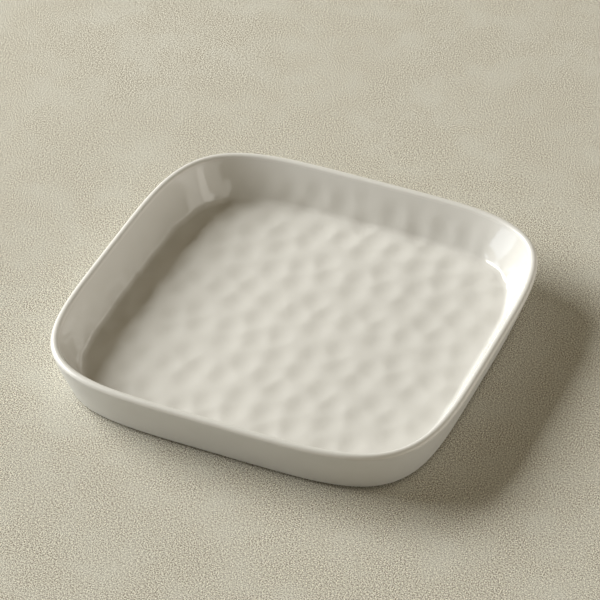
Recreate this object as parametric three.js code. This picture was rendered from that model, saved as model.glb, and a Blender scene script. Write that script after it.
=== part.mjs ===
// Square dessert plate: a pressed stoneware body with a hammered floor, a luted foot ring and coats of glaze.
// Millimetres, +Z up. The origin is the middle of the face that the plate stands on.
import * as THREE from 'three';
import { mergeVertices } from 'three/addons/utils/BufferGeometryUtils.js';

// Sizes of the finished plate, measured over the glaze
const RIM_SIDE = 180; // side to side, across the outside of the lip
const RIM_SQUARENESS = 4.45; // exponent of the outline: 2 is a circle, more is squarer
const PLATE_HEIGHT = 24; // from the table to the top of the lip
const LIP_THICKNESS = 3.5; // the lip is a full round of this width
const OUTER_LEAN = 18.5; // degrees from upright
const INNER_LEAN = 24.5; // degrees from upright
const FLOOR_THICKNESS = 4.7; // from the underside to the ridges between the dimples
const COVE_RADIUS = 3; // where the floor turns up into the inner wall
const BASE_EDGE_RADIUS = 0.6; // where the outer wall turns under

// Foot ring
const FOOT_HEIGHT = 1.3; // how far it holds the underside off the table
const FOOT_INSET = 12; // from the outer edge of the flat underside to the ring
const FOOT_WIDTH = 5;

// Glaze
const GLAZE_THICKNESS = 0.35;
const BARE_STRIP = 0.6; // clay wiped clean of glaze on each side of the foot ring

// Hammered dimples: ovals in columns, from the well's middle out to each side
const DIMPLE_REACH = 8; // columns on each side of the middle one, and rows too
const DIMPLE_COLUMN_PITCH = 12.83;
const DIMPLE_ROW_PITCH = 14.1;
const DIMPLE_LAG = 0.548; // share of a row by which each column lags behind the last
const DIMPLE_START = new THREE.Vector2(-2.44, -6.58); // place of the middle dimple
const DIMPLE_TURN = 1.4; // degrees between the columns and the plate's sides
const DIMPLE_HALF_WIDTH = 7.2;
const DIMPLE_HALF_LENGTH = 9.6;
const DIMPLE_DEPTH = 0.55;
const DIMPLE_RISE = 20; // distance up the wall, along the surface, at which the dimples have faded out
const DIMPLE_FULL_SHARE = 0.3; // share of that distance over which they keep their depth
const DIMPLE_CORNER_POWER = 4; // how soon they stop short in the corners

// Waves along which the dimples stray: how far, radians per column and per row, and where the wave starts
const STRAY_ACROSS = { reach: 3.36, column: 6.125, row: 1.625, start: 4.043 };
const STRAY_ALONG = { reach: 2.78, column: 2.692, row: 2.8025, start: 5.908 };

// Fineness of the surfaces
const FLOOR_RINGS = 20;
const COVE_STEPS = 3;
const LIP_STEPS = 2; // on each side of its top
const BASE_EDGE_STEPS = 2;

// Values worked out from the sizes
const RING_POINTS = 8 * FLOOR_RINGS;
const LIP_RADIUS = LIP_THICKNESS / 2;
const FLOOR_TOP = FOOT_HEIGHT + FLOOR_THICKNESS;
const CLAY_UNDERSIDE = FOOT_HEIGHT + GLAZE_THICKNESS;
const INNER_LEAN_ANGLE = THREE.MathUtils.degToRad(INNER_LEAN);
const OUTER_LEAN_ANGLE = THREE.MathUtils.degToRad(OUTER_LEAN);

// Ways that a surface faces, as angles up from straight out
const FACING_UP = Math.PI / 2;
const FACING_OUT = 0;
const FACING_DOWN = -Math.PI / 2;
const FACING_INNER_WALL = Math.PI - INNER_LEAN_ANGLE;
const FACING_OUTER_WALL = -OUTER_LEAN_ANGLE;

// Section through the wall. "out" is the distance outwards from the rim's outline, negative inside it.
const LIP_CENTRE = { out: -LIP_RADIUS, height: PLATE_HEIGHT - LIP_RADIUS };

// Centre of the curve at the foot of a straight wall that touches the lip's round too
function centreBelowLip(height, lean, gap) {
  const drop = height - LIP_CENTRE.height;
  return { out: LIP_CENTRE.out + (drop * Math.sin(lean) + gap) / Math.cos(lean), height };
}

const COVE_CENTRE = centreBelowLip(FLOOR_TOP + COVE_RADIUS, INNER_LEAN_ANGLE, -LIP_RADIUS - COVE_RADIUS);
const BASE_EDGE_CENTRE = centreBelowLip(
  FOOT_HEIGHT + BASE_EDGE_RADIUS,
  OUTER_LEAN_ANGLE,
  LIP_RADIUS - BASE_EDGE_RADIUS,
);

// Points on a curve of the section, with the way the surface faces. A hollow curve has a negative radius.
function curve(centre, radius, facingFrom, facingTo, steps) {
  return Array.from({ length: steps + 1 }, (_, step) => {
    const facing = THREE.MathUtils.lerp(facingFrom, facingTo, step / steps);
    return {
      out: centre.out + radius * Math.cos(facing),
      height: centre.height + radius * Math.sin(facing),
      facing,
    };
  });
}

// Adds to each point its distance along the surface from the first one
function withRuns(points) {
  let run = 0;
  return points.map((point, index) => {
    const last = points[Math.max(index - 1, 0)];
    run += Math.hypot(point.out - last.out, point.height - last.height);
    return { ...point, run };
  });
}

// The well's section, from the edge of the floor up the inner wall and over the lip to its outermost line
function wellSection() {
  const cove = curve(COVE_CENTRE, -COVE_RADIUS, FACING_UP, FACING_INNER_WALL, COVE_STEPS);
  const lipInside = curve(LIP_CENTRE, LIP_RADIUS, FACING_INNER_WALL, FACING_UP, LIP_STEPS);
  const lipOutside = curve(LIP_CENTRE, LIP_RADIUS, FACING_UP, FACING_OUT, LIP_STEPS);
  return withRuns([...cove, ...lipInside, ...lipOutside.slice(1)]);
}

// The outside's section, from the outermost line of the lip down to the flat underside
function outsideSection() {
  const underLip = curve(LIP_CENTRE, LIP_RADIUS, FACING_OUT, FACING_OUTER_WALL, 1);
  const baseEdge = curve(BASE_EDGE_CENTRE, BASE_EDGE_RADIUS, FACING_OUTER_WALL, FACING_DOWN, BASE_EDGE_STEPS);
  return [...underLip, ...baseEdge].map((point) => ({ ...point, run: Infinity }));
}

// A point of the rim's outline and the way the outline faces there. A turn of 1 is once round.
function rimOutline(turn) {
  const x = Math.cos(turn * 2 * Math.PI);
  const y = Math.sin(turn * 2 * Math.PI);
  const power = RIM_SQUARENESS;
  const reach = RIM_SIDE / 2 / (Math.abs(x) ** power + Math.abs(y) ** power) ** (1 / power);
  const facing = new THREE.Vector2(x * Math.abs(x) ** (power - 2), y * Math.abs(y) ** (power - 2));
  return { place: new THREE.Vector2(x, y).multiplyScalar(reach), facing: facing.normalize() };
}

// A point a given distance outside the rim's outline. Further in than the lip, the outline is drawn smaller as
// a whole, so that the well and the base have rounder corners than the rim.
function beside(rim, out) {
  const level = Math.max(out, -LIP_THICKNESS);
  const size = 1 + (out - level) / (RIM_SIDE / 2);
  return rim.place.clone().multiplyScalar(size).addScaledVector(rim.facing, level);
}

// How far a dimple strays from its place
function stray(wave, column, row) {
  return wave.reach * Math.sin(wave.column * column + wave.row * row + wave.start);
}

// Middle of a dimple, on the floor laid out flat
function dimpleMiddle(column, row) {
  const lag = THREE.MathUtils.euclideanModulo(DIMPLE_LAG * column, 1);
  const middle = new THREE.Vector2(
    column * DIMPLE_COLUMN_PITCH + stray(STRAY_ACROSS, column, row),
    (row + lag) * DIMPLE_ROW_PITCH + stray(STRAY_ALONG, column, row),
  );
  return middle.add(DIMPLE_START).rotateAround(new THREE.Vector2(), THREE.MathUtils.degToRad(DIMPLE_TURN));
}

const DIMPLE_LINES = Array.from({ length: 2 * DIMPLE_REACH + 1 }, (_, index) => index - DIMPLE_REACH);
const DIMPLES = DIMPLE_LINES.flatMap((column) => DIMPLE_LINES.map((row) => dimpleMiddle(column, row)));

// How deep the hammered surface lies under its ridges, at a place on the floor laid out flat
function dimpleDepth(flat) {
  const nearest = DIMPLES.reduce((least, middle) => {
    const across = (flat.x - middle.x) / DIMPLE_HALF_WIDTH;
    const along = (flat.y - middle.y) / DIMPLE_HALF_LENGTH;
    return Math.min(least, Math.hypot(across, along));
  }, 1);
  return DIMPLE_DEPTH * (1 - nearest ** 2) ** 2;
}

// How far up the wall the dimples go: less in the corners, where the wall turns
function dimpleRise(facing) {
  return DIMPLE_RISE * Math.max(Math.abs(facing.x), Math.abs(facing.y)) ** DIMPLE_CORNER_POWER;
}

// A point of the finished surface, or of the clay under it when it is sunk by the glaze
function surfacePoint(point, turn, sunk) {
  const rim = rimOutline(turn);
  const rise = dimpleRise(rim.facing);
  const flat = beside(rim, COVE_CENTRE.out + Math.min(point.run, rise));
  const fade = 1 - THREE.MathUtils.smoothstep(point.run, DIMPLE_FULL_SHARE * rise, rise);
  const depth = sunk + fade * dimpleDepth(flat);
  const plan = beside(rim, point.out - depth * Math.cos(point.facing));
  return new THREE.Vector3(plan.x, plan.y, point.height - depth * Math.sin(point.facing));
}

function ringOf(makePoint) {
  return Array.from({ length: RING_POINTS }, (_, index) => makePoint(index / RING_POINTS));
}

// The rings of points that carry a section round the plate
function skin(section, sunk) {
  return section.map((point) => ringOf((turn) => surfacePoint(point, turn, sunk)));
}

// A level ring of the rim's shape drawn smaller, which the foot ring and the coats beside it follow
function footOutline(out, height) {
  const size = 1 + out / (RIM_SIDE / 2);
  return ringOf((turn) => {
    const { place } = rimOutline(turn);
    return new THREE.Vector3(place.x * size, place.y * size, height);
  });
}

// Triangles between each ring and the next. They face out when the section runs from the well outwards.
function strips(rings) {
  const triangles = [];
  rings.slice(1).forEach((ring, index) => {
    const last = rings[index];
    ring.forEach((point, place) => {
      const next = (place + 1) % RING_POINTS;
      triangles.push([last[place], point, ring[next]], [last[place], ring[next], last[next]]);
    });
  });
  return triangles;
}

// Triangles that close a level ring, with their faces down
function closedBelow(ring) {
  const middle = new THREE.Vector3(0, 0, ring[0].z);
  return ring.map((point, place) => [point, middle, ring[(place + 1) % RING_POINTS]]);
}

function turnedOver(triangles) {
  return triangles.map(([first, second, third]) => [first, third, second]);
}

// The two faces of a coat. Its inner face has the clay's own triangles, so that the two meet without a gap.
function coat(finished, clay) {
  return [...strips(finished), ...turnedOver(strips(clay))];
}

// Steps round a square ring of the floor's grid, from the middle of its +X side. There are 8 for each ring.
function stepsRound(column, row, ring) {
  if (column === ring) {
    return row < 0 ? 8 * ring + row : row;
  }
  if (row === ring) {
    return 2 * ring - column;
  }
  if (column === -ring) {
    return 4 * ring - row;
  }
  return 6 * ring + column;
}

// A point of the floor's grid, whose square rings are drawn as smaller copies of the floor's edge
function floorPoint(column, row, sunk) {
  const ring = Math.max(Math.abs(column), Math.abs(row));
  const turn = ring === 0 ? 0 : stepsRound(column, row, ring) / (8 * ring);
  const flat = beside(rimOutline(turn), COVE_CENTRE.out).multiplyScalar(ring / FLOOR_RINGS);
  return new THREE.Vector3(flat.x, flat.y, FLOOR_TOP - sunk - dimpleDepth(flat));
}

// Triangles of the hammered floor, with their faces up
function floor(sunk) {
  const lines = Array.from({ length: 2 * FLOOR_RINGS + 1 }, (_, column) =>
    Array.from({ length: 2 * FLOOR_RINGS + 1 }, (__, row) =>
      floorPoint(column - FLOOR_RINGS, row - FLOOR_RINGS, sunk),
    ),
  );
  const triangles = [];
  for (let column = 0; column < 2 * FLOOR_RINGS; column += 1) {
    for (let row = 0; row < 2 * FLOOR_RINGS; row += 1) {
      const [line, next] = [lines[column], lines[column + 1]];
      triangles.push([line[row], next[row], next[row + 1]], [line[row], next[row + 1], line[row + 1]]);
    }
  }
  return triangles;
}

function piece(name, triangles, material) {
  const geometry = new THREE.BufferGeometry().setFromPoints(triangles.flat());
  const mesh = new THREE.Mesh(mergeVertices(geometry), material);
  mesh.geometry.computeVertexNormals();
  mesh.name = name;
  return mesh;
}

const BARE_CLAY = new THREE.MeshStandardMaterial({ color: '#c4b69c', roughness: 0.85, metalness: 0 });
const GLOSS_GLAZE = new THREE.MeshStandardMaterial({ color: '#d8d4c8', roughness: 0.15, metalness: 0 });
const SATIN_GLAZE = new THREE.MeshStandardMaterial({ color: '#d2cdc1', roughness: 0.45, metalness: 0 });

const WELL = wellSection();
const OUTSIDE = outsideSection();
const FOOT_OUT = BASE_EDGE_CENTRE.out - FOOT_INSET;
const FOOT_IN = FOOT_OUT - FOOT_WIDTH;

// The pressed slab: floor, leaning wall and lip
function clayBody() {
  const rings = [...skin(WELL, GLAZE_THICKNESS), ...skin(OUTSIDE, GLAZE_THICKNESS).slice(1)];
  const triangles = [...floor(GLAZE_THICKNESS), ...strips(rings), ...closedBelow(rings.at(-1))];
  return piece('clay_body', triangles, BARE_CLAY);
}

// The bare ring under the slab
function footRing() {
  const rings = [
    footOutline(FOOT_OUT, CLAY_UNDERSIDE),
    footOutline(FOOT_OUT, 0),
    footOutline(FOOT_IN, 0),
    footOutline(FOOT_IN, CLAY_UNDERSIDE),
  ];
  return piece('foot_ring', strips([...rings, rings[0]]), BARE_CLAY);
}

// The gloss coat over the floor, the inner wall and the lip
function innerGlaze() {
  const finished = skin(WELL, 0);
  const clay = skin(WELL, GLAZE_THICKNESS);
  const triangles = [...floor(0), ...coat(finished, clay), ...turnedOver(floor(GLAZE_THICKNESS))];
  triangles.push(...strips([finished.at(-1), clay.at(-1)]));
  return piece('inner_glaze', triangles, GLOSS_GLAZE);
}

// The satin coat down the outer wall and under its edge, as far as the foot ring
function outerGlaze() {
  const stop = FOOT_OUT + BARE_STRIP;
  const finished = [...skin(OUTSIDE, 0), footOutline(stop, FOOT_HEIGHT)];
  const clay = [...skin(OUTSIDE, GLAZE_THICKNESS), footOutline(stop, CLAY_UNDERSIDE)];
  const ends = [...strips([clay[0], finished[0]]), ...strips([finished.at(-1), clay.at(-1)])];
  return piece('outer_glaze', [...coat(finished, clay), ...ends], SATIN_GLAZE);
}

// The satin coat on the underside inside the foot ring
function baseGlaze() {
  const stop = FOOT_IN - BARE_STRIP;
  const upper = footOutline(stop, CLAY_UNDERSIDE);
  const lower = footOutline(stop, FOOT_HEIGHT);
  const triangles = [...turnedOver(closedBelow(upper)), ...strips([upper, lower]), ...closedBelow(lower)];
  return piece('base_glaze', triangles, SATIN_GLAZE);
}

const plate = new THREE.Group();
plate.add(clayBody(), footRing(), innerGlaze(), outerGlaze(), baseGlaze());

export default plate;
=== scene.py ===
"""Square dessert plate in hammered, glazed stoneware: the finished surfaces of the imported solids."""
import math

import bmesh
import bpy
import numpy as np
from mathutils import Matrix, Vector


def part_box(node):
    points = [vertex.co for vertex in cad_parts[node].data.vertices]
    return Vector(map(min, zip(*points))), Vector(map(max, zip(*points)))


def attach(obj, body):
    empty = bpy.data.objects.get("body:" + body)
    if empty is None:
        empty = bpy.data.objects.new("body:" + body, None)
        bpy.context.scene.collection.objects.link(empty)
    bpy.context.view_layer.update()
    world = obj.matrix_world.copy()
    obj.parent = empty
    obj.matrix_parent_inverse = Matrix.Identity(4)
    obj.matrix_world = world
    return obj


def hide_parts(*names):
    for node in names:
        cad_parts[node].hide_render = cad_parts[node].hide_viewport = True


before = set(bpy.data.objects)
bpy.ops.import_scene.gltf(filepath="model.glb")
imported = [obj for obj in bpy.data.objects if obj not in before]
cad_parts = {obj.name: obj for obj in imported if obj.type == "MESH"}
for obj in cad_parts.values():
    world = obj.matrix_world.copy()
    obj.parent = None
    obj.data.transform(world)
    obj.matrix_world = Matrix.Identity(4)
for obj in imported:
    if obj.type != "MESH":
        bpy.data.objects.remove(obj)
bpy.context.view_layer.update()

MM = 0.001

# Sizes that the frame gives, in metres
RIM_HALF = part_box("inner_glaze")[1].x
PLATE_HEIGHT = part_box("inner_glaze")[1].z
FOOT_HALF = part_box("foot_ring")[1].x
FOOT_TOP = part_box("foot_ring")[1].z
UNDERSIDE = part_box("base_glaze")[0].z
BASE_COAT_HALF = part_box("base_glaze")[1].x

# Section of the wall, as on the solids
RIM_SQUARENESS = 4.45
LIP_THICKNESS = 3.5 * MM
LIP_RADIUS = LIP_THICKNESS / 2
OUTER_LEAN = math.radians(18.5)
INNER_LEAN = math.radians(24.5)
FLOOR_TOP = 6.0 * MM
COVE_RADIUS = 3.0 * MM
BASE_EDGE_RADIUS = 0.6 * MM
FOOT_WIDTH = 5.0 * MM
FOOT_EDGE_RADIUS = 0.5 * MM
GLAZE_THICKNESS = 0.35 * MM
BARE_STRIP = 0.6 * MM

# Hammered dimples, as on the solids: ovals in columns, each lagging behind the last by a share of a row
DIMPLE_COLUMN_PITCH = 12.83 * MM
DIMPLE_ROW_PITCH = 14.1 * MM
DIMPLE_LAG = 0.548
DIMPLE_COLUMNS = 17
DIMPLE_ROWS = 17
DIMPLE_START_ACROSS = -2.44 * MM
DIMPLE_START_ALONG = -6.58 * MM
DIMPLE_TURN = math.radians(1.4)
DIMPLE_HALF_WIDTH = 7.2 * MM
DIMPLE_HALF_LENGTH = 9.6 * MM
DIMPLE_DEPTH = 0.55 * MM
DIMPLE_RISE = 20.0 * MM
DIMPLE_FULL_SHARE = 0.3
DIMPLE_CORNER_POWER = 4
STRAY_ACROSS = 3.36 * MM
STRAY_ALONG = 2.78 * MM
RIDGE_SOFTENING = 2

# Waves that the strays follow: radians for each column, radians for each row, and where the wave starts
WAVE_ACROSS = (6.125, 1.625, 4.043)
WAVE_ALONG = (2.692, 2.8025, 5.908)

# Glaze: glassy in the well, drier on the lip and outside
GLOSS_THIN = "#dbd9d5"
GLOSS_POOLED = "#d0cec9"
GLOSS_TONE_MM = 22
GLOSS_PEEL_MM = 2.5
WELL_ROUGHNESS = 0.06
LIP_ROUGHNESS = 0.32
SATIN_THIN = "#d9d9d7"
SATIN_THICK = "#cecdcb"
SATIN_TONE_MM = 18
SATIN_GRAIN_MM = 0.7
SATIN_ROUGHNESS = (0.3, 0.4)
GLAZE_IOR = 1.5

# Bare clay
CLAY_PALE = "#cdbfa6"
CLAY_DEEP = "#b8a98e"
CLAY_GRIT = "#8d7b61"
CLAY_GRAIN_MM = 0.5
CLAY_GRIT_MM = 1.6
CLAY_ROUGHNESS = 0.85

# Sandy table
SAND_DARK = "#5e5044"
SAND_LIGHT = "#f4f1e2"
SAND_CLOUD = "#cbcac1"
SAND_GRAIN_MM = 0.54
SAND_CLOUD_MM = 28
SAND_ROUGHNESS = 0.9
TABLE_HALF = 3.0

# Fineness of the meshes
FLOOR_RINGS = 72
RING_POINTS = 8 * FLOOR_RINGS
COVE_STEPS = 8
WALL_STEPS = 10
LIP_STEPS = 8
EDGE_STEPS = 6
MERGE_DISTANCE = 0.0001 * MM
SEAM_DISTANCE = 0.1 * MM
SHARP_ANGLE = math.radians(40)

# Camera, in metres and degrees, with its focal length in pixels of a 600 pixel frame
FRAME_PIXELS = 600
CAMERA_AZIMUTH = 23.468
CAMERA_ELEVATION = 38.869
CAMERA_ROLL = 0.008
CAMERA_DISTANCE = 1.4352
CAMERA_TARGET = Vector((-0.00975, 0.02490, 0.0))
CAMERA_FOCAL_PIXELS = 3288.2
SENSOR_WIDTH_MM = 36.0

# Light, in degrees, metres and watts: a wide soft box on the left, a long low reflector and a high soft box
# on the right, a weak strip on each side in front, and a little warm light from all round
LAMPS = {
    "key_soft_box": dict(
        azimuth=-92, elevation=29, distance=2.8, size=(2.3, 1.4), power=141, colour="#fefffb",
    ),
    "right_reflector": dict(
        azimuth=118, elevation=10.5, distance=1.6, size=(3.55, 0.58), power=12.6, colour="#fffcf4",
    ),
    "high_soft_box": dict(
        azimuth=90, elevation=62, distance=2.5, size=(1.0, 0.8), power=2.4, colour="#fff0d0",
    ),
    "right_strip": dict(
        azimuth=66, elevation=16, distance=2.0, size=(1.8, 0.4), power=3.4, colour="#fffcf2",
    ),
    "left_strip": dict(
        azimuth=-64, elevation=7, distance=2.0, size=(1.0, 0.45), power=4.6, colour="#e6f0ff",
    ),
}
AMBIENT_COLOUR = "#ffe8b4"
AMBIENT_STRENGTH = 0.125

# Ways that a surface faces, as angles up from straight out
UP = math.pi / 2
OUT = 0.0
DOWN = -math.pi / 2
INNER_WALL = math.pi - INNER_LEAN
OUTER_WALL = -OUTER_LEAN


# Section of the plate: rows of distance out from the rim, height, and the way the surface faces

LIP_CENTRE = (-LIP_RADIUS, PLATE_HEIGHT - LIP_RADIUS)


def centre_below_lip(height, lean, gap):
    """Centre of the curve at the foot of a straight wall that also touches the round of the lip."""
    drop = height - LIP_CENTRE[1]
    return LIP_CENTRE[0] + (drop * math.sin(lean) + gap) / math.cos(lean), height


COVE_CENTRE = centre_below_lip(FLOOR_TOP + COVE_RADIUS, INNER_LEAN, -LIP_RADIUS - COVE_RADIUS)
BASE_CENTRE = centre_below_lip(UNDERSIDE + BASE_EDGE_RADIUS, OUTER_LEAN, LIP_RADIUS - BASE_EDGE_RADIUS)


def curve(centre, radius, facing_from, facing_to, steps):
    """Points on a round of the section. A hollow round has a negative radius."""
    facing = np.linspace(facing_from, facing_to, steps + 1)
    out = centre[0] + radius * np.cos(facing)
    height = centre[1] + radius * np.sin(facing)
    return np.column_stack([out, height, facing])


def straight(start, end, steps):
    """Points between two ends of a straight stretch, without the ends."""
    share = np.linspace(0, 1, steps + 1)[1:-1, None]
    return start + (end - start) * share


def well_section():
    """From the edge of the floor, up the inner wall and over the lip to its outermost line."""
    cove = curve(COVE_CENTRE, -COVE_RADIUS, UP, INNER_WALL, COVE_STEPS)
    lip = curve(LIP_CENTRE, LIP_RADIUS, INNER_WALL, OUT, 2 * LIP_STEPS)
    return np.concatenate([cove, straight(cove[-1], lip[0], WALL_STEPS), lip])


def outside_section():
    """From the outermost line of the lip down to the flat underside."""
    under_lip = curve(LIP_CENTRE, LIP_RADIUS, OUT, OUTER_WALL, EDGE_STEPS // 2)
    base_edge = curve(BASE_CENTRE, BASE_EDGE_RADIUS, OUTER_WALL, DOWN, EDGE_STEPS)
    return np.concatenate([under_lip, straight(under_lip[-1], base_edge[0], WALL_STEPS), base_edge])


def rim_outline(turn):
    """Places on the rim's outline and the ways it faces, for an array of turns from 0 to 1."""
    direction = np.stack([np.cos(2 * np.pi * turn), np.sin(2 * np.pi * turn)], -1)
    size = np.abs(direction)
    reach = RIM_HALF / (size ** RIM_SQUARENESS).sum(-1, keepdims=True) ** (1 / RIM_SQUARENESS)
    facing = direction * size ** (RIM_SQUARENESS - 2)
    return direction * reach, facing / np.linalg.norm(facing, axis=-1, keepdims=True)


RING_PLACES, RING_FACINGS = rim_outline(np.arange(RING_POINTS) / RING_POINTS)


def beside(place, facing, out):
    """Places a given distance out from the rim. Past the lip the outline is drawn smaller as a whole."""
    level = max(out, -LIP_THICKNESS)
    return place * (1 + (out - level) / RIM_HALF) + level * facing


def wall_ring(out, height):
    """A level ring of the wall, a given distance out from the rim."""
    return np.column_stack([beside(RING_PLACES, RING_FACINGS, out), np.full(RING_POINTS, height)])


def foot_ring_outline(half, height):
    """A level ring of the rim's shape drawn smaller."""
    return np.column_stack([RING_PLACES * half / RIM_HALF, np.full(RING_POINTS, height)])


def ring_faces(rings, first=0):
    """Four-cornered faces between each ring of points and the next."""
    faces = []
    for ring in range(rings - 1):
        start = first + ring * RING_POINTS
        following = start + RING_POINTS
        for place in range(RING_POINTS):
            after = (place + 1) % RING_POINTS
            faces.append((start + place, following + place, following + after, start + after))
    return faces


def merge_points(mesh, distance, open_edges_only=False):
    """Joins points that lie together, everywhere or only along open edges."""
    bm = bmesh.new()
    bm.from_mesh(mesh)
    points = [point for point in bm.verts if point.is_boundary or not open_edges_only]
    bmesh.ops.remove_doubles(bm, verts=points, dist=distance)
    bm.to_mesh(mesh)
    bm.free()


def new_piece(name, points, faces, **attributes):
    """A mesh object at the origin, smooth between its sharp edges, with values kept on its points."""
    mesh = bpy.data.meshes.new(name)
    mesh.from_pydata([tuple(point) for point in points], [], faces)
    for attribute, values in attributes.items():
        is_place = np.ndim(values) == 2
        layer = mesh.attributes.new(attribute, "FLOAT_VECTOR" if is_place else "FLOAT", "POINT")
        layer.data.foreach_set("vector" if is_place else "value", np.ravel(values))
    merge_points(mesh, MERGE_DISTANCE)
    mesh.shade_smooth()
    mesh.set_sharp_from_angle(angle=SHARP_ANGLE)
    piece = bpy.data.objects.new(name, mesh)
    bpy.context.scene.collection.objects.link(piece)
    return piece


def settle(piece):
    """Turns a piece with modifiers into a plain mesh."""
    depsgraph = bpy.context.evaluated_depsgraph_get()
    mesh = bpy.data.meshes.new_from_object(piece.evaluated_get(depsgraph), depsgraph=depsgraph)
    piece.modifiers.clear()
    piece.data = mesh
    mesh.name = piece.name
    return piece


def thicken(piece, thickness):
    """Gives a sheet its thickness, under the side that shows."""
    wall = piece.modifiers.new("thickness", "SOLIDIFY")
    wall.thickness = thickness
    wall.offset = -1
    wall.use_even_offset = True
    return settle(piece)


# Hammered well

def steps_round(column, row, ring):
    """Steps round a square ring of the floor's grid, from the middle of its +X side."""
    right = np.where(row < 0, 8 * ring + row, row)
    bottom = 6 * ring + column
    left = 4 * ring - row
    top = 2 * ring - column
    return np.select([column == ring, row == ring, column == -ring], [right, top, left], bottom)


def floor_grid():
    """The floor's points, whose square rings are smaller copies of the floor's edge, and its faces."""
    line = np.arange(-FLOOR_RINGS, FLOOR_RINGS + 1)
    column, row = (axis.ravel() for axis in np.meshgrid(line, line, indexing="ij"))
    ring = np.maximum(abs(column), abs(row))
    place, facing = rim_outline(steps_round(column, row, ring) / np.maximum(8 * ring, 1))
    plan = beside(place, facing, COVE_CENTRE[0]) * (ring / FLOOR_RINGS)[:, None]
    points = np.column_stack([plan, np.full(len(plan), FLOOR_TOP)])
    width = 2 * FLOOR_RINGS + 1
    corners = (np.arange(width - 1)[:, None] * width + np.arange(width - 1)).ravel()
    faces = [(i, i + width, i + width + 1, i + 1) for i in corners.tolist()]
    return points, faces


def well_sheet():
    """The smooth well. Its points keep their places with the wall laid flat, and how far dimples show."""
    points, faces = floor_grid()
    section = well_section()
    run = np.concatenate([[0], np.cumsum(np.hypot(*np.diff(section[:, :2], axis=0).T))])
    rings = np.concatenate([wall_ring(out, height) for out, height, _ in section])
    flats = np.concatenate([wall_ring(COVE_CENTRE[0] + distance, 0) for distance in run])
    rise = DIMPLE_RISE * np.abs(RING_FACINGS).max(-1) ** DIMPLE_CORNER_POWER
    share = np.clip((run[:, None] / rise - DIMPLE_FULL_SHARE) / (1 - DIMPLE_FULL_SHARE), 0, 1)
    fades = 1 - share * share * (3 - 2 * share)
    return new_piece(
        "gloss_well",
        np.concatenate([points, rings]),
        faces + ring_faces(len(section), len(points)),
        flat=np.concatenate([points * (1, 1, 0), flats]),
        fade=np.concatenate([np.ones(len(points)), fades.ravel()]),
    )


# Nodes

def connect(tree, node, inputs):
    """Fills a node's inputs, each with a value, a socket, or a node whose first output it takes."""
    for name, value in inputs.items():
        if isinstance(value, bpy.types.Node):
            value = value.outputs[0]
        if isinstance(value, bpy.types.NodeSocket):
            tree.links.new(value, node.inputs[name])
        else:
            node.inputs[name].default_value = value


def add(tree, kind, inputs=None, **settings):
    """Adds a node with its settings and fills its inputs."""
    node = tree.nodes.new(kind)
    for name, value in settings.items():
        setattr(node, name, value)
    connect(tree, node, inputs or {})
    return node


# Inputs of the tree that hammers the well: the whole numbers are counts
DIMPLE_INPUTS = {
    "Columns": DIMPLE_COLUMNS,
    "Rows": DIMPLE_ROWS,
    "Column Pitch": DIMPLE_COLUMN_PITCH,
    "Row Pitch": DIMPLE_ROW_PITCH,
    "Lag": DIMPLE_LAG,
    "Start Across": DIMPLE_START_ACROSS,
    "Start Along": DIMPLE_START_ALONG,
    "Turn": DIMPLE_TURN,
    "Stray Across": STRAY_ACROSS,
    "Stray Along": STRAY_ALONG,
    "Half Width": DIMPLE_HALF_WIDTH,
    "Half Length": DIMPLE_HALF_LENGTH,
    "Depth": DIMPLE_DEPTH,
    "Softening": RIDGE_SOFTENING,
}


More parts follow.
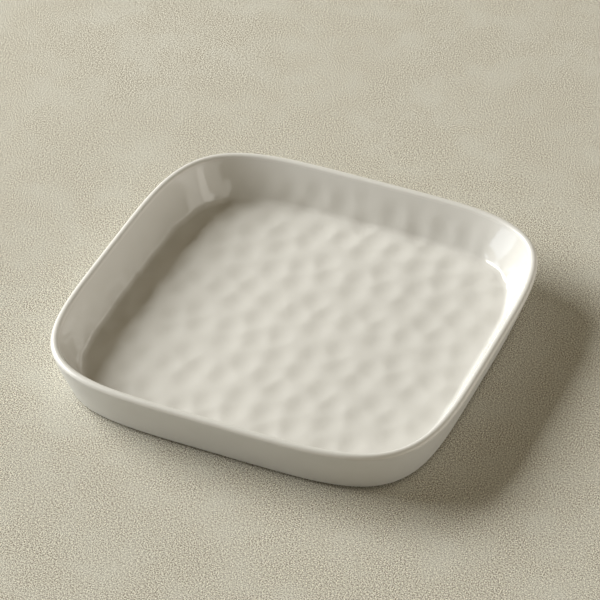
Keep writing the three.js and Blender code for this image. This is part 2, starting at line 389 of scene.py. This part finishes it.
def hammer_tree():
    """Sinks dimples into a sheet: columns of centres that stray, and an oval pit at each of them."""
    tree = bpy.data.node_groups.new("hammered_dimples", "GeometryNodeTree")
    tree.interface.new_socket("Geometry", in_out="INPUT", socket_type="NodeSocketGeometry")
    for name, value in DIMPLE_INPUTS.items():
        kind = "NodeSocketInt" if isinstance(value, int) else "NodeSocketFloat"
        tree.interface.new_socket(name, in_out="INPUT", socket_type=kind)
    tree.interface.new_socket("Material", in_out="INPUT", socket_type="NodeSocketMaterial")
    tree.interface.new_socket("Geometry", in_out="OUTPUT", socket_type="NodeSocketGeometry")
    given = add(tree, "NodeGroupInput").outputs
    math_kind = "ShaderNodeMath"

    # Level grid with one point for each dimple, whose place is its column and row
    grid = add(tree, "GeometryNodeMeshGrid", {
        "Size X": add(tree, math_kind, {0: given["Columns"], 1: 1.0}, operation="SUBTRACT"),
        "Size Y": add(tree, math_kind, {0: given["Rows"], 1: 1.0}, operation="SUBTRACT"),
        "Vertices X": given["Columns"],
        "Vertices Y": given["Rows"],
    })
    place = add(tree, "ShaderNodeSeparateXYZ", {0: add(tree, "GeometryNodeInputPosition")}).outputs
    column, row = place["X"], place["Y"]

    # Each centre strays along two waves
    strays = []
    for (by_column, by_row, start), reach, origin in (
        (WAVE_ACROSS, given["Stray Across"], given["Start Across"]),
        (WAVE_ALONG, given["Stray Along"], given["Start Along"]),
    ):
        row_part = add(tree, math_kind, {0: row, 1: by_row, 2: start}, operation="MULTIPLY_ADD")
        wave = add(tree, math_kind, {0: column, 1: by_column, 2: row_part}, operation="MULTIPLY_ADD")
        sine = add(tree, math_kind, {0: wave}, operation="SINE")
        strays.append(add(tree, math_kind, {0: sine, 1: reach, 2: origin}, operation="MULTIPLY_ADD"))
    passed = add(tree, math_kind, {0: column, 1: given["Lag"]}, operation="MULTIPLY")
    lag = add(tree, math_kind, {0: passed}, operation="FRACT")
    late_row = add(tree, math_kind, {0: row, 1: lag}, operation="ADD")
    across = {0: column, 1: given["Column Pitch"], 2: strays[0]}
    along = {0: late_row, 1: given["Row Pitch"], 2: strays[1]}
    centre = add(tree, "ShaderNodeCombineXYZ", {
        "X": add(tree, math_kind, across, operation="MULTIPLY_ADD"),
        "Y": add(tree, math_kind, along, operation="MULTIPLY_ADD"),
    })
    turned = add(tree, "ShaderNodeVectorRotate", {
        "Vector": centre,
        "Angle": given["Turn"],
    }, rotation_type="Z_AXIS")

    # An oval pit about the nearest centre, measured in shares of its own size and softened where pits meet
    size = add(tree, "ShaderNodeCombineXYZ", {
        "X": given["Half Width"], "Y": given["Half Length"], "Z": 1.0,
    })
    flat = add(tree, "GeometryNodeInputNamedAttribute", {"Name": "flat"}, data_type="FLOAT_VECTOR")
    fade = add(tree, "GeometryNodeInputNamedAttribute", {"Name": "fade"}, data_type="FLOAT")
    near = add(tree, "GeometryNodeProximity", {
        "Geometry": add(tree, "GeometryNodeSetPosition", {
            "Geometry": grid,
            "Position": add(tree, "ShaderNodeVectorMath", {0: turned, 1: size}, operation="DIVIDE"),
        }),
        "Sample Position": add(tree, "ShaderNodeVectorMath", {0: flat, 1: size}, operation="DIVIDE"),
    }, target_element="POINTS").outputs["Distance"]
    share = add(tree, math_kind, {0: near, 1: 1.0}, operation="MINIMUM")
    square = add(tree, math_kind, {0: share, 1: share}, operation="MULTIPLY")
    rise = add(tree, math_kind, {0: 1.0, 1: square}, operation="SUBTRACT")
    bowl = add(tree, math_kind, {0: rise, 1: rise}, operation="MULTIPLY")
    soft = add(tree, "GeometryNodeBlurAttribute", {
        "Value": add(tree, math_kind, {0: bowl, 1: fade}, operation="MULTIPLY"),
        "Iterations": given["Softening"],
    }, data_type="FLOAT")
    kept = add(tree, "GeometryNodeStoreNamedAttribute", {
        "Geometry": given["Geometry"],
        "Name": "pit",
        "Value": soft,
    }, data_type="FLOAT", domain="POINT")
    pit = add(tree, "GeometryNodeInputNamedAttribute", {"Name": "pit"}, data_type="FLOAT")
    depth = add(tree, math_kind, {0: pit, 1: given["Depth"]}, operation="MULTIPLY")
    sink = add(tree, "ShaderNodeVectorMath", {
        0: add(tree, "GeometryNodeInputNormal"),
        "Scale": add(tree, math_kind, {0: depth, 1: -1.0}, operation="MULTIPLY"),
    }, operation="SCALE")
    sunk = add(tree, "GeometryNodeSetPosition", {"Geometry": kept, "Offset": sink})
    real = add(tree, "GeometryNodeRealizeInstances", {"Geometry": sunk})
    painted = add(tree, "GeometryNodeSetMaterial", {"Geometry": real, "Material": given["Material"]})
    add(tree, "NodeGroupOutput", {"Geometry": painted})
    return tree


def hammer(piece, material):
    """Runs the dimples on a sheet and keeps the result as a plain mesh."""
    modifier = piece.modifiers.new("dimples", "NODES")
    modifier.node_group = hammer_tree()
    values = {**DIMPLE_INPUTS, "Material": material}
    for socket in modifier.node_group.interface.items_tree:
        if socket.in_out == "INPUT" and socket.name in values:
            modifier[socket.identifier] = values[socket.name]
    return settle(piece)


# Materials

def linear(hex_colour):
    """An sRGB hex colour as linear values, with alpha."""
    values = [int(hex_colour[i:i + 2], 16) / 255 for i in (1, 3, 5)]
    return (*(v / 12.92 if v <= 0.04045 else ((v + 0.055) / 1.055) ** 2.4 for v in values), 1.0)


def per_mm(size_mm):
    """Scale of a pattern whose features are this wide."""
    return 1 / (size_mm * MM)


def new_material(name):
    """A new material, its tree of nodes and its shader."""
    material = bpy.data.materials.new(name)
    material.use_nodes = True
    shader = material.node_tree.nodes["Principled BSDF"]
    return material, material.node_tree, shader


def gloss_glaze():
    """Fired gloss glaze: a smooth, glassy skin, a shade deeper where it pools and paler where it thins."""
    material, tree, shader = new_material("fired_gloss_glaze")
    place = add(tree, "ShaderNodeTexCoord").outputs["Object"]
    tone = add(tree, "ShaderNodeTexNoise", {
        "Vector": place, "Scale": per_mm(GLOSS_TONE_MM), "Detail": 3.0,
    })
    pit = add(tree, "ShaderNodeAttribute", attribute_name="pit")
    pool = add(tree, "ShaderNodeMapRange", {"Value": pit.outputs["Fac"], "To Min": 0.25, "To Max": 0.75})
    depth = add(tree, "ShaderNodeMath", {0: tone.outputs["Fac"], 1: pool}, operation="MULTIPLY")
    colour = add(tree, "ShaderNodeMix", {
        "Factor": depth, "A": linear(GLOSS_THIN), "B": linear(GLOSS_POOLED),
    }, data_type="RGBA")
    peel = add(tree, "ShaderNodeTexNoise", {
        "Vector": place, "Scale": per_mm(GLOSS_PEEL_MM), "Detail": 2.0,
    })
    height = add(tree, "ShaderNodeSeparateXYZ", {0: place}).outputs["Z"]
    shine = add(tree, "ShaderNodeMapRange", {
        "Value": height,
        "From Min": PLATE_HEIGHT - LIP_THICKNESS,
        "From Max": PLATE_HEIGHT - LIP_RADIUS / 2,
        "To Min": WELL_ROUGHNESS,
        "To Max": LIP_ROUGHNESS,
    }, interpolation_type="SMOOTHSTEP")
    bump = add(tree, "ShaderNodeBump", {
        "Height": peel.outputs["Fac"], "Strength": 0.03, "Distance": 0.2 * MM,
    })
    connect(tree, shader, {
        "Base Color": colour.outputs["Result"], "Roughness": shine, "Normal": bump, "IOR": GLAZE_IOR,
    })
    return material


def satin_glaze():
    """Fired satin glaze: the same pale glaze with a dry, fine-grained skin that spreads the light."""
    material, tree, shader = new_material("fired_satin_glaze")
    place = add(tree, "ShaderNodeTexCoord").outputs["Object"]
    tone = add(tree, "ShaderNodeTexNoise", {
        "Vector": place, "Scale": per_mm(SATIN_TONE_MM), "Detail": 3.0,
    })
    colour = add(tree, "ShaderNodeMix", {
        "Factor": tone.outputs["Fac"], "A": linear(SATIN_THIN), "B": linear(SATIN_THICK),
    }, data_type="RGBA")
    grain = add(tree, "ShaderNodeTexNoise", {
        "Vector": place, "Scale": per_mm(SATIN_GRAIN_MM), "Detail": 3.0,
    })
    smoothest, roughest = SATIN_ROUGHNESS
    shine = add(tree, "ShaderNodeMapRange", {
        "Value": grain.outputs["Fac"], "To Min": smoothest, "To Max": roughest,
    })
    bump = add(tree, "ShaderNodeBump", {
        "Height": grain.outputs["Fac"], "Strength": 0.06, "Distance": 0.1 * MM,
    })
    connect(tree, shader, {
        "Base Color": colour.outputs["Result"], "Roughness": shine, "Normal": bump, "IOR": GLAZE_IOR,
    })
    return material


def bare_clay():
    """Unglazed stoneware: dry buff clay with darker grit, sanded smooth enough not to scratch a table."""
    material, tree, shader = new_material("bare_stoneware")
    place = add(tree, "ShaderNodeTexCoord").outputs["Object"]
    grit = add(tree, "ShaderNodeTexVoronoi", {"Vector": place, "Scale": per_mm(CLAY_GRIT_MM)})
    grain = add(tree, "ShaderNodeTexNoise", {
        "Vector": place, "Scale": per_mm(CLAY_GRAIN_MM), "Detail": 4.0,
    })
    speck = add(tree, "ShaderNodeMapRange", {
        "Value": grit.outputs["Distance"], "From Min": 0.08, "From Max": 0.2,
    })
    clay = add(tree, "ShaderNodeMix", {
        "Factor": grain.outputs["Fac"], "A": linear(CLAY_PALE), "B": linear(CLAY_DEEP),
    }, data_type="RGBA")
    colour = add(tree, "ShaderNodeMix", {
        "Factor": speck, "A": linear(CLAY_GRIT), "B": clay.outputs["Result"],
    }, data_type="RGBA")
    bump = add(tree, "ShaderNodeBump", {
        "Height": grain.outputs["Fac"], "Strength": 0.3, "Distance": 0.1 * MM,
    })
    connect(tree, shader, {
        "Base Color": colour.outputs["Result"], "Roughness": CLAY_ROUGHNESS, "Normal": bump,
    })
    return material


def pale_table():
    """Plain pale table of fine sandy stone: matt, with an even grain and faint pale clouds."""
    material, tree, shader = new_material("pale_table")
    place = add(tree, "ShaderNodeTexCoord").outputs["Object"]
    cloud = add(tree, "ShaderNodeTexNoise", {
        "Vector": place, "Scale": per_mm(SAND_CLOUD_MM), "Detail": 6.0, "Roughness": 0.65,
    })
    grain = add(tree, "ShaderNodeTexNoise", {
        "Vector": place, "Scale": per_mm(SAND_GRAIN_MM), "Detail": 2.0,
    })
    sand = add(tree, "ShaderNodeMapRange", {
        "Value": grain.outputs["Fac"], "From Min": 0.35, "From Max": 0.65,
    })
    stone = add(tree, "ShaderNodeMix", {
        "Factor": sand, "A": linear(SAND_DARK), "B": linear(SAND_LIGHT),
    }, data_type="RGBA")
    patch = add(tree, "ShaderNodeMapRange", {
        "Value": cloud.outputs["Fac"], "From Min": 0.45, "From Max": 0.75, "To Max": 0.5,
    })
    colour = add(tree, "ShaderNodeMix", {
        "Factor": patch, "A": stone.outputs["Result"], "B": linear(SAND_CLOUD),
    }, data_type="RGBA")
    bump = add(tree, "ShaderNodeBump", {
        "Height": grain.outputs["Fac"], "Strength": 0.5, "Distance": 0.3 * MM,
    })
    connect(tree, shader, {
        "Base Color": colour.outputs["Result"], "Roughness": SAND_ROUGHNESS, "Normal": bump,
    })
    return material


# Pieces of the plate

def place_piece(piece, material, node):
    """Gives a finished piece its material, hangs it from the root body and hides the solid it stands for.
    """
    piece.data.materials.clear()
    piece.data.materials.append(material)
    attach(piece, "root")
    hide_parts(node)


def outside_sheet():
    """The outer wall from the lip's outermost line, round the bottom edge to the strip beside the foot."""
    section = outside_section()
    rings = [wall_ring(out, height) for out, height, _ in section]
    rings.append(foot_ring_outline(FOOT_HALF + BARE_STRIP, UNDERSIDE))
    return new_piece("satin_outside", np.concatenate(rings), ring_faces(len(rings)))


def foot_piece():
    """The foot ring, a flat band with its edges rubbed round."""
    corner = FOOT_EDGE_RADIUS
    outer = curve((FOOT_HALF - corner, corner), corner, OUT, DOWN, EDGE_STEPS)
    inner = curve((FOOT_HALF - FOOT_WIDTH + corner, corner), corner, DOWN, DOWN - UP, EDGE_STEPS)
    halves = [FOOT_HALF, *outer[:, 0], *inner[:, 0], FOOT_HALF - FOOT_WIDTH, FOOT_HALF]
    heights = [FOOT_TOP, *outer[:, 1], *inner[:, 1], FOOT_TOP, FOOT_TOP]
    rings = [foot_ring_outline(half, height) for half, height in zip(halves, heights)]
    return new_piece("bare_foot_ring", np.concatenate(rings), ring_faces(len(rings)))


def base_sheet():
    """The flat coat inside the foot ring, facing down."""
    ring = foot_ring_outline(BASE_COAT_HALF, UNDERSIDE)
    return new_piece("satin_base", ring, [tuple(reversed(range(RING_POINTS)))])


def clay_piece(well):
    """The clay under the coats: the hammered well and the outside, both sunk by the glaze's thickness."""
    mesh = well.data
    count = len(mesh.vertices)
    points = np.empty(3 * count)
    normals = np.empty(3 * count)
    mesh.vertices.foreach_get("co", points)
    mesh.vertex_normals.foreach_get("vector", normals)
    inside = (points - GLAZE_THICKNESS * normals).reshape(-1, 3)
    faces = [tuple(face.vertices) for face in mesh.polygons]
    section = outside_section()
    facing = section[:, 2]
    sunk = section[:, :2] - GLAZE_THICKNESS * np.column_stack([np.cos(facing), np.sin(facing)])
    rings = np.concatenate([wall_ring(out, height) for out, height in sunk])
    last = count + len(rings) - RING_POINTS
    faces += ring_faces(len(sunk), count)
    faces.append(tuple(reversed(range(last, last + RING_POINTS))))
    piece = new_piece("pressed_clay_body", np.concatenate([inside, rings]), faces)
    merge_points(piece.data, SEAM_DISTANCE, open_edges_only=True)
    return piece


GLOSS = gloss_glaze()
SATIN = satin_glaze()
CLAY = bare_clay()

well = hammer(well_sheet(), GLOSS)
body = clay_piece(well)
place_piece(body, CLAY, "clay_body")
place_piece(thicken(well, GLAZE_THICKNESS), GLOSS, "inner_glaze")
place_piece(thicken(outside_sheet(), GLAZE_THICKNESS), SATIN, "outer_glaze")
place_piece(thicken(base_sheet(), GLAZE_THICKNESS), SATIN, "base_glaze")
place_piece(foot_piece(), CLAY, "foot_ring")


# Table, light and camera

def direction(azimuth, elevation):
    """The way to a lamp or the camera: azimuth 0 is in front of the plate, 90 to its right."""
    turn, rise = math.radians(azimuth), math.radians(elevation)
    return Vector((math.sin(turn) * math.cos(rise), -math.cos(turn) * math.cos(rise), math.sin(rise)))


def table():
    """The plain table under the plate."""
    mesh = bpy.data.meshes.new("table")
    half = TABLE_HALF
    corners = [(-half, -half, 0), (half, -half, 0), (half, half, 0), (-half, half, 0)]
    mesh.from_pydata(corners, [], [(0, 1, 2, 3)])
    mesh.materials.append(pale_table())
    plane = bpy.data.objects.new("table", mesh)
    bpy.context.scene.collection.objects.link(plane)


def lamp(name, azimuth, elevation, distance, size, power, colour):
    """A soft box aimed at the middle of the plate."""
    light = bpy.data.lights.new(name, "AREA")
    light.shape = "RECTANGLE"
    light.size, light.size_y = size
    light.energy = power
    light.color = linear(colour)[:3]
    box = bpy.data.objects.new(name, light)
    way = direction(azimuth, elevation)
    box.location = way * distance
    box.rotation_euler = way.to_track_quat("Z", "Y").to_euler()
    bpy.context.scene.collection.objects.link(box)


def surroundings():
    """Even, dim light from all round."""
    world = bpy.data.worlds.new("studio")
    world.use_nodes = True
    background = world.node_tree.nodes["Background"]
    background.inputs["Color"].default_value = linear(AMBIENT_COLOUR)
    background.inputs["Strength"].default_value = AMBIENT_STRENGTH
    bpy.context.scene.world = world


def camera():
    """The camera, at the place and with the lens worked out from the plate's outlines."""
    data = bpy.data.cameras.new("camera")
    data.sensor_width = SENSOR_WIDTH_MM
    data.lens = CAMERA_FOCAL_PIXELS * SENSOR_WIDTH_MM / FRAME_PIXELS
    view = bpy.data.objects.new("camera", data)
    back = direction(CAMERA_AZIMUTH, CAMERA_ELEVATION)
    right = (-back).cross(Vector((0, 0, 1))).normalized()
    up = right.cross(-back)
    turn = Matrix.Rotation(math.radians(CAMERA_ROLL), 3, "Z")
    axes = Matrix((right, up, back)).transposed() @ turn
    view.matrix_world = Matrix.Translation(CAMERA_TARGET + back * CAMERA_DISTANCE) @ axes.to_4x4()
    bpy.context.scene.collection.objects.link(view)
    bpy.context.scene.camera = view


table()
for lamp_name, settings in LAMPS.items():
    lamp(lamp_name, **settings)
surroundings()
camera()
bpy.context.scene.view_settings.view_transform = "Standard"
